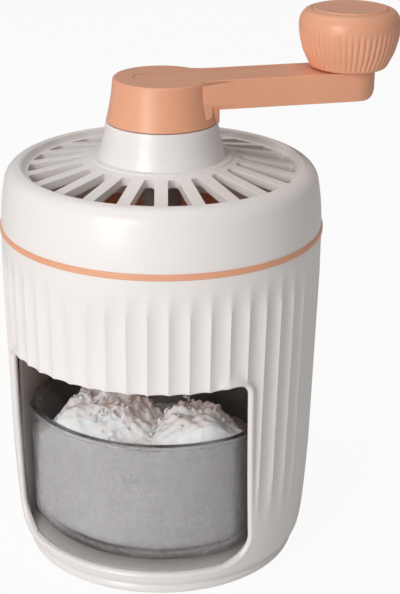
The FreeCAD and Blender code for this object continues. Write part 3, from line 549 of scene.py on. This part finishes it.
# ---------------------------------------------------------------------------------------
# Crank arm and its cover strip: satin peach ABS, moulded with ribs and pockets on the hidden
# side. The arm shown is the solid's mesh with its near side flush to the hub and its root
# drawn in. The screw into the spindle hides under the strip.
ARM_TURN = math.radians(33.0)
ARM_HALF = 10.45
ARM_UNDER = 180.9
HUB_FOOT_R = 21.1
HUB_TOP_R = 18.6
ROOT_X = (21.1, 22.9)      # the root's end stands between these distances along the arm
ROOT_HALF = 10.6
ROOT_DRAWN_IN = 2.4        # and goes back this far, towards the hub's round
THROAT_X = (12.0, 26.5)    # the block beside the hub lies between these distances
THROAT_HALF = 15.3
HUB_NEAR = 0.5
FLAT_SLACK = 0.1
crank_source = nodes["crank_arm"].data
crank_data = crank_source.copy()
crank_low, crank_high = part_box("crank_arm")
arm_frame = Matrix.Rotation(-ARM_TURN, 3, "Z")
side_normal = arm_frame.inverted() @ Vector((0, -1, 0))
trimmed = set()
for vert in crank_data.vertices:
    spot = arm_frame @ vert.co / MM
    up_share = (spot.z - crank_low.z / MM) / (crank_high.z / MM - crank_low.z / MM)
    hub_r = HUB_FOOT_R + (HUB_TOP_R - HUB_FOOT_R) * up_share
    in_root = ROOT_X[0] < spot.x < ROOT_X[1] and abs(spot.y) < ROOT_HALF
    in_throat = THROAT_X[0] < spot.x < THROAT_X[1] and -THROAT_HALF < spot.y < -ARM_HALF
    if in_root and spot.z < ARM_UNDER:
        spot.x -= ROOT_DRAWN_IN
    elif in_throat and spot.z > ARM_UNDER:
        if abs(math.hypot(spot.x, spot.y) - hub_r) < HUB_NEAR:
            spot.x = math.sqrt(hub_r ** 2 - ARM_HALF ** 2)
        spot.y = -ARM_HALF
        trimmed.add(vert.index)
    vert.co = arm_frame.inverted() @ spot * MM
normals = [corner.vector.copy() for corner in crank_source.corner_normals]
for polygon in crank_data.polygons:
    across = [(arm_frame @ crank_data.vertices[index].co).y / MM for index in polygon.vertices]
    if max(across) < FLAT_SLACK - ARM_HALF and trimmed.intersection(polygon.vertices):
        for loop in polygon.loop_indices:
            normals[loop] = side_normal
crank_data.normals_split_custom_set(normals)
crank_data.materials.clear()
crank_data.materials.append(peach_abs)
crank_moulding = bpy.data.objects.new("crank_moulding", crank_data)
bpy.context.scene.collection.objects.link(crank_moulding)
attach(crank_moulding, "crank")
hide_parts("crank_arm")
dress("arm_cover", peach_abs)
upside_down = Matrix.Rotation(math.pi, 4, "X")
hub_screw_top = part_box("hub_screw")[1].z / MM
screws("hub_pan_screw", "crank", "hub_screw", (3.2, 1.9, 1.47, 15.0, 1.2),
       [Matrix.Translation((0, 0, hub_screw_top - 1.9)) @ upside_down])

# ---------------------------------------------------------------------------------------
# Spindle and its end cap: dark grey glass filled nylon, a moulded tube that turns in the
# neck. The filler leaves it dull with a fine sparkle.
grey_nylon = moulded("dark_grey_nylon", "#a39b98", "#979090", 0.45, 0.5, 0.010, 0.2)
dress("spindle", grey_nylon)
dress("spindle_end_cap", grey_nylon)

# ---------------------------------------------------------------------------------------
# Spring: round spring steel wire, coiled with closed ends. It sits in the hollow rod and
# shortens as the presser rises.
spring_steel = metal("spring_steel_wire", "#8d8e92", "#77787c", 0.30, 0.3, (1, 1, 1))
spring_low, spring_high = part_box("press_spring")
WIRE_R = 0.38
COIL_R = 2.68
WIRE_SIDES = 8
COILS = 15
STEPS_PER_COIL = 26
coil_low = spring_low.z / MM + WIRE_R + 0.05
coil_high = spring_high.z / MM - WIRE_R - 0.05
spring_mesh = bmesh.new()
spring_rows = []
spring_steps = COILS * STEPS_PER_COIL
upwards = Vector((0, 0, 1))
for step in range(spring_steps + 1):
    share = step / spring_steps
    angle = 2 * math.pi * COILS * share
    # The pitch grows from closed end coils to open middle coils
    wound = share - 0.7 / COILS * math.sin(2 * math.pi * share)
    centre = Vector((COIL_R * math.cos(angle), COIL_R * math.sin(angle),
                     coil_low + (coil_high - coil_low) * wound))
    outwards = Vector((math.cos(angle), math.sin(angle), 0))
    row = []
    for corner in range(WIRE_SIDES):
        turn = 2 * math.pi * corner / WIRE_SIDES
        row.append(centre + WIRE_R * (math.cos(turn) * outwards + math.sin(turn) * upwards))
    spring_rows.append(row)
skin(spring_mesh, spring_rows)
spring = finished(spring_mesh, "coil_spring", spring_steel, 80.0)
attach(spring, "crank")
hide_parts("press_spring")
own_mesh(spring)

# ---------------------------------------------------------------------------------------
# Presser rod and disc: a drawn hexagon tube of stainless steel, and a peach ABS disc whose
# spikes hold the cubes as it turns. One screw joins them from below.
drawn_steel = metal("drawn_hexagon_steel", "#b4b6b9", "#9c9ea2", 0.30, 0.5, (1, 1, 0.05))
dress("press_rod", drawn_steel)
dress("press_disc", peach_abs)
disc_screw_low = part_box("disc_screw")[0].z / MM
screws("disc_pan_screw", "press", "disc_screw", (3.4, 1.7, 1.27, 5.0, 1.0),
       [Matrix.Translation((0, 0, disc_screw_low + 1.7))])

# ---------------------------------------------------------------------------------------
# Knob: peach ABS grip, flared upwards, with fifty fine rounded ribs that fade out under the
# smooth shoulder. It is hollow and turns on a shouldered steel pin.
knob_low, knob_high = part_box("knob")
knob_x = (knob_low.x + knob_high.x) / 2 / MM
knob_y = (knob_low.y + knob_high.y) / 2 / MM
knob_base = knob_low.z / MM + 0.4
KNOB_RIBS = 50
STEPS_PER_RIB = 8
RIB_DEPTH = 0.5
grip = [(15.2, 1.1), (16.2, 3.1), (17.15, 5.1), (17.9, 6.9), (18.45, 8.9), (18.95, 11.0), (19.35, 13.2),
        (19.5, 15.0), (19.52, 16.6), (19.35, 18.1), (18.85, 19.5), (18.0, 20.8), (17.1, 21.7), (16.0, 22.2),
        (15.2, 22.36), (14.85, 22.36), (14.72, 22.2)]
knob_line = [(3.05, -0.4), (7.0, -0.4), (7.0, 0.0), (13.9, 0.0), (14.3, 0.12), (14.8, 0.5)] + eased(grip, 3)
knob_line += [(14.7, 20.95), (12.4, 20.95), (12.4, 12.7), (10.0, 7.7), (7.0, 7.7), (7.0, 9.9),
              (3.05, 9.9)]
knob_mesh = bmesh.new()
knob_rows = []
for radius, height in knob_line:
    depth = RIB_DEPTH * step_up(height, 0.6, 1.6) * (1 - step_up(height, 12.5, 16.5)) * (radius > 14.9)

    def ribbed(angle, radius=radius, depth=depth):
        return radius - depth * (1 - abs(math.sin(KNOB_RIBS * angle / 2)))

    row = circle(ribbed, knob_base + height, KNOB_RIBS * STEPS_PER_RIB)
    knob_rows.append([(x + knob_x, y + knob_y, z) for x, y, z in row])
skin(knob_mesh, knob_rows + [knob_rows[0]], closed_ends=False)
bmesh.ops.remove_doubles(knob_mesh, verts=knob_mesh.verts, dist=1e-6)
ribbed_knob = finished(knob_mesh, "ribbed_knob", peach_abs, 32.0)
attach(ribbed_knob, "knob")
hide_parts("knob")

# ---------------------------------------------------------------------------------------
# Knob cap: a smooth shallow dish in the same peach ABS, pressed into the grip's top. It
# hides the pin, the washer and the screw that keep the knob on the arm.
dress("knob_cap", peach_abs)
dress("knob_axle", zinc_plate)
dress("knob_washer", zinc_plate)
knob_screw_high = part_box("knob_screw")[1].z / MM
screws("knob_pan_screw", "crank", "knob_screw", (2.9, 1.7, 1.22, 7.0, 1.0),
       [Matrix.Translation((knob_x, knob_y, knob_screw_high - 1.7)) @ upside_down])


# ---------------------------------------------------------------------------------------
# Bowl: injection moulded clear SAN, faintly grey, with a thin turned-out rim. Cold ice
# leaves a fine mist of frost on it, in random patches.
def clear_plastic():
    """Clear plastic with uneven gloss and frost patches, which lets some light straight through."""
    material, tree, output = new_material("clear_frosted_san_plastic")
    place = add(tree, "ShaderNodeTexCoord").outputs["Object"]
    haze = add(tree, "ShaderNodeTexNoise", {"Scale": 1 / 0.018, "Detail": 6.0}, {"Vector": place})
    gloss = add(tree, "ShaderNodeMapRange", {"To Min": 0.04, "To Max": 0.20},
                {"Value": haze.outputs["Fac"]})
    clear = add(tree, "ShaderNodeBsdfPrincipled",
                {"Base Color": colour("#ccc9ca"), "IOR": 1.49, "Transmission Weight": 1.0},
                {"Roughness": gloss.outputs["Result"]})
    mist = add(tree, "ShaderNodeTexNoise", {"Scale": 1 / 0.0022, "Detail": 6.0, "Roughness": 0.7},
               {"Vector": place})
    patches = add(tree, "ShaderNodeTexNoise", {"Scale": 1 / 0.030, "Detail": 2.0}, {"Vector": place})
    patchy = add(tree, "ShaderNodeMath", {"operation": "MULTIPLY"},
                 {0: mist.outputs["Fac"], 1: patches.outputs["Fac"]})
    amount = add(tree, "ShaderNodeMapRange", {"From Min": 0.20, "From Max": 0.45, "To Max": 0.42},
                 {"Value": patchy.outputs["Value"]})
    frost = add(tree, "ShaderNodeBsdfPrincipled",
                {"Base Color": colour("#c6c4c5"), "Roughness": 0.7, "IOR": 1.31})
    frosted = add(tree, "ShaderNodeMixShader", links={"Fac": amount.outputs["Result"],
                                                      1: clear.outputs["BSDF"], 2: frost.outputs["BSDF"]})
    straight = add(tree, "ShaderNodeBsdfTransparent", {"Color": colour("#e6e4e4")})
    ray = add(tree, "ShaderNodeLightPath")
    through = add(tree, "ShaderNodeMath", {"operation": "MULTIPLY", 1: 0.8},
                  {0: ray.outputs["Is Shadow Ray"]})
    shaded = add(tree, "ShaderNodeMixShader", links={"Fac": through.outputs["Value"],
                                                     1: frosted.outputs["Shader"],
                                                     2: straight.outputs["BSDF"]})
    tree.links.new(shaded.outputs["Shader"], output.inputs["Surface"])
    return material


dress("bowl", clear_plastic())

# ---------------------------------------------------------------------------------------
# Shaved ice: a rough white heap of curls and crumbs that fills the bowl and stands over its
# front rim. It is loose food, not a part of the machine, and it travels with the bowl.
bowl_low, bowl_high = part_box("bowl")
BOWL_SKIN = 2.4            # turned-out rim and wall together
BOWL_CORNER = 14.2         # inside corner in plan
BOWL_UNDER = 7.3           # inside round at the floor
BOWL_LEAN = 0.02
ICE_GAP = 0.35             # keeps the ice off the plastic
ICE_SETTLED = 62.9         # level of the heap before its humps
ICE_LIMIT = 74.5           # the window's top clears the ice when the bowl slides
RINGS = 84
STEPS = 300
half_in = bowl_high.x / MM - BOWL_SKIN
front_in = -bowl_low.y / MM - BOWL_SKIN
back_in = bowl_high.y / MM - BOWL_SKIN
bowl_top = bowl_high.z / MM
bowl_floor = bowl_low.z / MM + 2.4


def bowl_reach(angle, inset):
    """Distance from the axis to the bowl's inner wall in this direction, corners rounded."""
    half = half_in - inset
    outer = (front_in if math.sin(angle) < 0 else back_in) - inset
    corner = BOWL_CORNER - inset
    ahead = Vector((abs(math.cos(angle)), abs(math.sin(angle))))
    centre = Vector((half - corner, math.sqrt((outer - corner) ** 2 - (half - corner) ** 2)))
    if ahead.y * half < centre.y * ahead.x:
        return half / ahead.x
    if ahead.y * centre.x > centre.y * ahead.x:
        return outer
    middle = centre.dot(ahead)
    return middle + math.sqrt(middle ** 2 - centre.length_squared + corner ** 2)


def ice_height(x, y, share):
    """Height of the heap: two torn humps along its front, and a steep fall to the bowl's back."""
    left = math.exp(-((x + 10.0) / 19.0) ** 4)
    right = math.exp(-((x - 25.0) / 13.5) ** 4)
    ridge = 10.0 * left + 9.5 * right - 3.0 * math.exp(-((x - 11.5) / 2.4) ** 2)
    level = ICE_SETTLED + ridge * step_up(y, -53, -38)
    level = level - 38.0 * step_up(y, -27, 4) - 9.0 * step_up(-x, 24, 40)
    torn = 2.8 * noise.noise(Vector((x / 7.5, y / 7.5, 9.2)))
    torn -= 3.4 * abs(noise.noise(Vector((x / 4.6, y / 4.6, 2.6))))
    torn += 1.5 * noise.noise(Vector((x / 1.9, y / 1.9, 4.1)))
    return min(level, ICE_LIMIT) + torn * (1 - 0.75 * share ** 8)


ice_mesh = bmesh.new()
ice_rows = []
for ring in range(1, RINGS + 1):
    share = ring / RINGS
    row = []
    for step in range(STEPS):
        angle = 2 * math.pi * step / STEPS
        plain_reach = share * bowl_reach(angle, ICE_GAP)
        height = ice_height(plain_reach * math.cos(angle), plain_reach * math.sin(angle), share)
        reach = share * bowl_reach(angle, ICE_GAP + BOWL_LEAN * max(0.0, bowl_top - height))
        row.append((reach * math.cos(angle), reach * math.sin(angle), height))
    ice_rows.append(row)
rim_heights = [point[2] for point in ice_rows[-1]]


def side_row(level_heights, more_inset):
    """A row down the heap's side, held off the leaning wall and dented here and there."""
    points = []
    for step, height in enumerate(level_heights):
        angle = 2 * math.pi * step / STEPS
        dent = 0.9 * abs(noise.noise(Vector((9 * math.cos(angle), 9 * math.sin(angle), height / 5.0))))
        reach = bowl_reach(angle, ICE_GAP + more_inset(height) + dent)
        points.append((reach * math.cos(angle), reach * math.sin(angle), height))
    return points


under_z = bowl_floor + 3 * ICE_GAP + BOWL_UNDER
for part_up in (0.8, 0.6, 0.4, 0.2):
    level_heights = [under_z + (rim - under_z) * part_up for rim in rim_heights]
    ice_rows.append(side_row(level_heights, lambda height: BOWL_LEAN * (bowl_top - height)))
for part in range(6):
    turn = math.radians(18 * part)
    inset = (BOWL_LEAN * (bowl_top - under_z) + BOWL_UNDER * (1 - math.cos(turn))
             + 2 * ICE_GAP * math.sin(turn))
    level_heights = [under_z - BOWL_UNDER * math.sin(turn)] * STEPS
    ice_rows.append(side_row(level_heights, lambda height: inset))
skin(ice_mesh, ice_rows)

shavings = random.Random(11)
noise.seed_set(11)         # unseeded, noise_vector takes its offsets from the clock
CURLS = 60
CRUMBS = 150


def on_heap(spread):
    """A random place on the heap's front half and its turn."""
    angle = shavings.uniform(0, 2 * math.pi)
    share = math.sqrt(shavings.uniform(0.0, spread))
    reach = share * bowl_reach(angle, 5.0)
    x = reach * math.cos(angle)
    y = -abs(reach * math.sin(angle)) - 4.0
    turn = Euler([shavings.uniform(0, 2 * math.pi) for _ in range(3)])
    return x, y, ice_height(x, y, share), turn.to_matrix().to_4x4()


for _ in range(CURLS):
    x, y, height, turn = on_heap(0.95)
    radius = shavings.uniform(1.2, 2.4)
    width = shavings.uniform(0.6, 1.5)
    sweep = shavings.uniform(2.0, 4.6)
    place = Matrix.Translation((x, y, height + 0.5)) @ turn
    curl_rows = []
    for part in range(11):
        angle = sweep * part / 10
        taper = 0.35 + 0.65 * math.sin(math.pi * (part + 0.6) / 11.2)
        row = []
        for side, thick in ((-1, -0.2), (1, -0.2), (1, 0.2), (-1, 0.2)):
            reach = radius * (1 - 0.05 * part) + thick * taper
            point = Vector((reach * math.cos(angle), side * width * taper, reach * math.sin(angle)))
            row.append(place @ point)
        curl_rows.append(row)
    skin(ice_mesh, curl_rows)
for _ in range(CRUMBS):
    x, y, height, turn = on_heap(0.99)
    size = shavings.uniform(0.5, 1.25) * MM
    stretch = Matrix.Diagonal((shavings.uniform(0.6, 1.5), 1.0, shavings.uniform(0.5, 0.9), 1.0))
    place = Matrix.Translation(Vector((x, y, height + 0.2)) * MM) @ turn @ stretch
    crumb = bmesh.ops.create_icosphere(ice_mesh, subdivisions=1, radius=size, matrix=place)
    for vert in crumb["verts"]:
        vert.co += 0.28 * size * noise.noise_vector(vert.co * 1700)

# Wet packed crystals scatter light inside and glint in small grains. Their bluish white is
# painted to cancel the warm light that the peach barrel bounces onto the ice.
snow, snow_tree, snow_output = new_material("packed_shaved_ice")
snow_place = add(snow_tree, "ShaderNodeTexCoord").outputs["Object"]
snow_grain = add(snow_tree, "ShaderNodeTexVoronoi", {"Scale": 1 / 0.0021}, {"Vector": snow_place})
snow_lumps = add(snow_tree, "ShaderNodeTexNoise", {"Scale": 1 / 0.004, "Detail": 8.0, "Roughness": 0.7},
                 {"Vector": snow_place})
snow_relief = add(snow_tree, "ShaderNodeBump", {"Strength": 0.4, "Distance": 0.6 * MM},
                  {"Height": snow_lumps.outputs["Fac"]})
snow_crystal = add(snow_tree, "ShaderNodeBump", {"Strength": 0.3, "Distance": 0.4 * MM},
                   {"Height": snow_grain.outputs["Distance"], "Normal": snow_relief.outputs["Normal"]})
snow_surface = add(snow_tree, "ShaderNodeBsdfPrincipled",
                   {"Roughness": 0.38, "IOR": 1.31, "Subsurface Weight": 0.5,
                    "Subsurface Radius": (0.004, 0.005, 0.0055), "Subsurface Scale": 1.0},
                   {"Base Color": ramp(snow_tree, snow_lumps.outputs["Fac"],
                                       0.30, "#eaf5fd", 0.55, "#f6fcff"),
                    "Normal": snow_crystal.outputs["Normal"]})
snow_tree.links.new(snow_surface.outputs["BSDF"], snow_output.inputs["Surface"])
shaved_ice = finished(ice_mesh, "shaved_ice", snow, 70.0)
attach(shaved_ice, "bowl")


# ---------------------------------------------------------------------------------------
# Floor and light: a plain white table under a big soft lamp from the front left, with the
# room's own even light round it.
def stage_plane(name, size, place, material):
    """A flat sheet of the stage."""
    mesh = bpy.data.meshes.new(name)
    half = size / 2
    mesh.from_pydata([(-half, -half, 0), (half, -half, 0), (half, half, 0), (-half, half, 0)], [],
                     [(0, 1, 2, 3)])
    sheet = bpy.data.objects.new(name, mesh)
    bpy.context.scene.collection.objects.link(sheet)
    sheet.location = place
    mesh.materials.append(material)


paper, paper_tree, paper_output = new_material("white_paper_floor")
ray = add(paper_tree, "ShaderNodeLightPath")
fibre = add(paper_tree, "ShaderNodeTexNoise", {"Scale": 1 / 0.004, "Detail": 3.0},
            {"Vector": add(paper_tree, "ShaderNodeTexCoord").outputs["Object"]})
matt = add(paper_tree, "ShaderNodeBsdfDiffuse",
           links={"Color": ramp(paper_tree, fibre.outputs["Fac"], 0.3, "#efeeec", 0.7, "#f3f2f0")})
glow = add(paper_tree, "ShaderNodeEmission", {"Color": (1, 1, 1, 1), "Strength": 1.0})
seen = add(paper_tree, "ShaderNodeMath", {"operation": "MAXIMUM"},
           {0: ray.outputs["Is Camera Ray"], 1: ray.outputs["Is Transmission Ray"]})
SHADOW_KEPT = 0.07         # share of the table's own light and shade that stays visible
glow_share = add(paper_tree, "ShaderNodeMath", {"operation": "MULTIPLY", 1: 1 - SHADOW_KEPT},
                 {0: seen.outputs["Value"]})
paper_mix = add(paper_tree, "ShaderNodeMixShader",
                links={"Fac": glow_share.outputs["Value"], 1: matt.outputs["BSDF"],
                       2: glow.outputs["Emission"]})
paper_tree.links.new(paper_mix.outputs["Shader"], paper_output.inputs["Surface"])
stage_plane("floor", 6.0, (0, 0, -0.0002), paper)

world = bpy.data.worlds.new("studio")
bpy.context.scene.world = world
world.use_nodes = True
sky = world.node_tree
sky.nodes.clear()
sky_output = add(sky, "ShaderNodeOutputWorld")
sky_ray = add(sky, "ShaderNodeLightPath")
room = add(sky, "ShaderNodeBackground", {"Color": (1.0, 0.988, 0.978, 1), "Strength": 0.30})
white = add(sky, "ShaderNodeBackground", {"Color": (1, 1, 1, 1), "Strength": 1.0})
choice = add(sky, "ShaderNodeMixShader", links={"Fac": sky_ray.outputs["Is Camera Ray"],
                                                1: room.outputs["Background"],
                                                2: white.outputs["Background"]})
sky.links.new(choice.outputs["Shader"], sky_output.inputs["Surface"])


def lamp(name, place, target, size, power, tone):
    """A soft box: a rectangular lamp aimed at a point."""
    light = bpy.data.lights.new(name, "AREA")
    light.shape = "RECTANGLE"
    light.size = size[0]
    light.size_y = size[1]
    light.energy = power
    light.color = tone
    holder = bpy.data.objects.new(name, light)
    bpy.context.scene.collection.objects.link(holder)
    holder.location = place
    aim = Vector(target) - Vector(place)
    holder.rotation_euler = aim.to_track_quat("-Z", "Y").to_euler()


middle = (0, 0, 0.10)
lamp("key_softbox", (-0.28, -1.26, 0.66), middle, (0.5, 0.5), 7.6, (1.0, 0.99, 0.975))
lamp("low_softbox", (-0.34, -1.46, 0.14), middle, (0.5, 0.4), 5.0, (1.0, 0.99, 0.98))
lamp("top_softbox", (-0.20, -0.10, 1.40), middle, (1.0, 1.0), 5.0, (1.0, 0.99, 0.98))

bpy.context.scene.view_settings.view_transform = "Standard"
